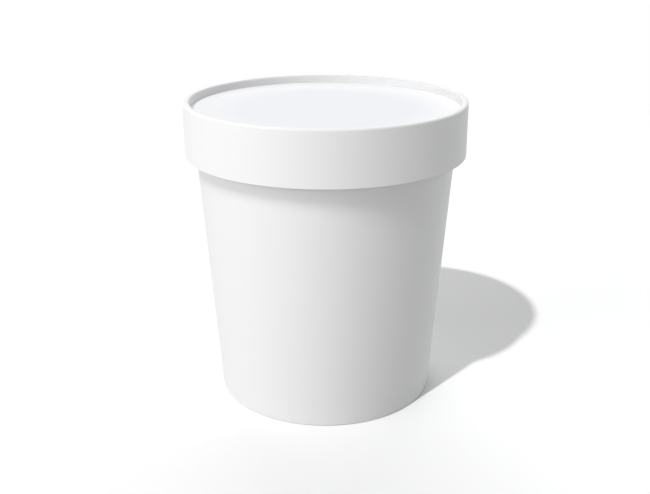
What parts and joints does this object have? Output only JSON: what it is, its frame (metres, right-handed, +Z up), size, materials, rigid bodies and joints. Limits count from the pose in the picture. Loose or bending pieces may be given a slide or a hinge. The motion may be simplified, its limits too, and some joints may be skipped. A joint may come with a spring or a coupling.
{
  "type": "paper ice cream tub",
  "caption": "Round tapered paperboard tub with a rolled rim, a folded heel and a push-on lid with a recessed panel.",
  "frame": {"origin": "centre of the foot, on the surface that the tub stands on", "axes": "+Z up along the tub's axis, +Y towards the side seams at the back, -Y the front"},
  "size_m": [0.1002, 0.1005, 0.1087],
  "materials": {
    "tub_board": "satin",
    "lid_board": "satin"
  },
  "bodies": {
    "tub": {"tub_wall": "tub_board", "tub_bottom": "tub_board"},
    "lid": {"lid_ring": "lid_board", "lid_disc": "lid_board"}
  },
  "joints": [
    {"name": "lid_lift", "type": "slide", "parent": "tub", "child": "lid", "axis": [0, 0, 1], "range_m": [0, 0.03]}
  ]
}
